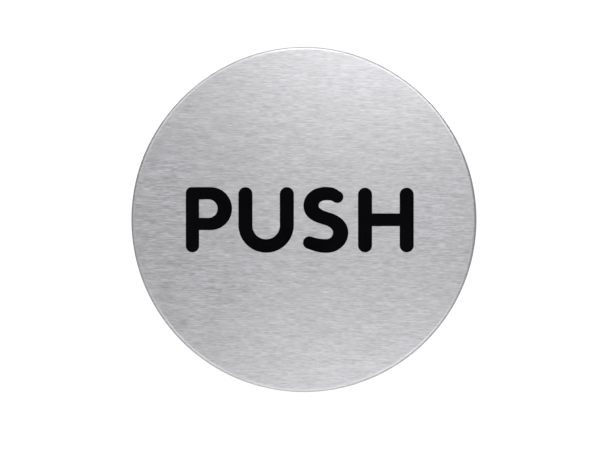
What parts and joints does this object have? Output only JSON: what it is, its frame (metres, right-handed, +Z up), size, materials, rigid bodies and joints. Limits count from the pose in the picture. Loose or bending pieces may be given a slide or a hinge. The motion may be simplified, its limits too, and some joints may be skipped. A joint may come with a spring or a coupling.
{
  "type": "pedestrian push button",
  "caption": "Round palm-size push button: a brushed steel cap over a wall-mounted housing, sprung, with a snap switch and terminals inside.",
  "frame": {"origin": "centre of the wall plate's back face, in the plane of the wall", "axes": "+Y points into the wall along the push travel, -Y is the way the push plate faces, +Z is up, +X is to the right seen from the front"},
  "size_m": [0.083, 0.048, 0.083],
  "materials": {
    "brushed_plate": "satin, brushed side to side",
    "letter_enamel": "smooth satin black enamel",
    "cast_carrier": "die-cast, matt",
    "housing_paint": "fine textured powder coat over cast aluminium",
    "bright_steel": "ground stainless",
    "spring_steel": "drawn wire and strip",
    "zinc_fastener": "bright zinc plate",
    "stainless_screw": "stainless, satin",
    "bearing_bronze": "sintered bronze, matt",
    "contact_brass": "brass, bright",
    "seal_rubber": "matt moulded rubber",
    "gasket_foam": "closed-cell foam rubber",
    "switch_plastic": "moulded phenolic",
    "plunger_plastic": "moulded, smooth",
    "pin_plastic": "acetal, smooth",
    "block_plastic": "moulded nylon",
    "lead_blue": "extruded insulation",
    "lead_brown": "extruded insulation",
    "zinc_plate": "zinc-plated sheet"
  },
  "bodies": {
    "housing": {"housing": "housing_paint", "guide_bush": "bearing_bronze", "pin_bush_top": "bearing_bronze", "pin_bush_bottom": "bearing_bronze", "skirt_seal": "seal_rubber", "actuator_seal": "seal_rubber", "bumper_1": "seal_rubber", "bumper_2": "seal_rubber", "bumper_3": "seal_rubber", "return_spring": "spring_steel", "switch_bracket": "zinc_plate", "bracket_screw_1": "zinc_fastener", "bracket_screw_2": "zinc_fastener", "switch_screw_1": "zinc_fastener", "switch_screw_2": "zinc_fastener", "switch_case": "switch_plastic", "switch_cover": "switch_plastic", "tab_common": "contact_brass", "tab_open": "contact_brass", "tab_closed": "contact_brass", "lever_pin": "bright_steel", "terminal_block": "block_plastic", "terminal_clamp_1": "contact_brass", "terminal_clamp_2": "contact_brass", "terminal_screw_1": "zinc_fastener", "terminal_screw_2": "zinc_fastener", "block_screw": "zinc_fastener", "lead_common": "lead_blue", "lead_signal": "lead_brown", "wall_plate": "zinc_plate", "wall_gasket": "gasket_foam", "cable_grommet": "seal_rubber", "cover_screw_1": "stainless_screw", "cover_screw_2": "stainless_screw", "cover_screw_3": "stainless_screw"},
    "push_cap": {"push_plate": "brushed_plate", "letter_p": "letter_enamel", "letter_u": "letter_enamel", "letter_s": "letter_enamel", "letter_h": "letter_enamel", "carrier": "cast_carrier", "plate_nut_1": "zinc_fastener", "plate_nut_2": "zinc_fastener", "plate_nut_3": "zinc_fastener", "stem": "bright_steel", "stem_pin": "bright_steel", "stem_washer": "zinc_fastener", "stem_clip": "spring_steel", "guide_pin_top": "bright_steel", "guide_pin_bottom": "bright_steel", "actuator_pin": "pin_plastic"},
    "lever": {"switch_lever": "bright_steel"},
    "plunger": {"switch_plunger": "plunger_plastic"}
  },
  "joints": [
    {"name": "cap_push", "type": "slide", "parent": "housing", "child": "push_cap", "axis": [0, 1, 0], "range_m": [0, 0.004], "stiffness_N_per_m": 1500, "springref_m": -0.004, "deforming": ["return_spring"]},
    {"name": "lever_swing", "type": "hinge", "parent": "housing", "child": "lever", "pos_m": [0.024, -0.0218, -0.02], "axis": [-1, 0, 0], "range_deg": [0, 11.6]},
    {"name": "plunger_travel", "type": "slide", "parent": "housing", "child": "plunger", "axis": [0, 1, 0], "range_m": [0, 0.00101]}
  ],
  "couplings": [
    {"joint": "lever_swing", "follows": "cap_push", "rad_per_m": 50},
    {"joint": "plunger_travel", "follows": "cap_push", "ratio": 0.25}
  ]
}
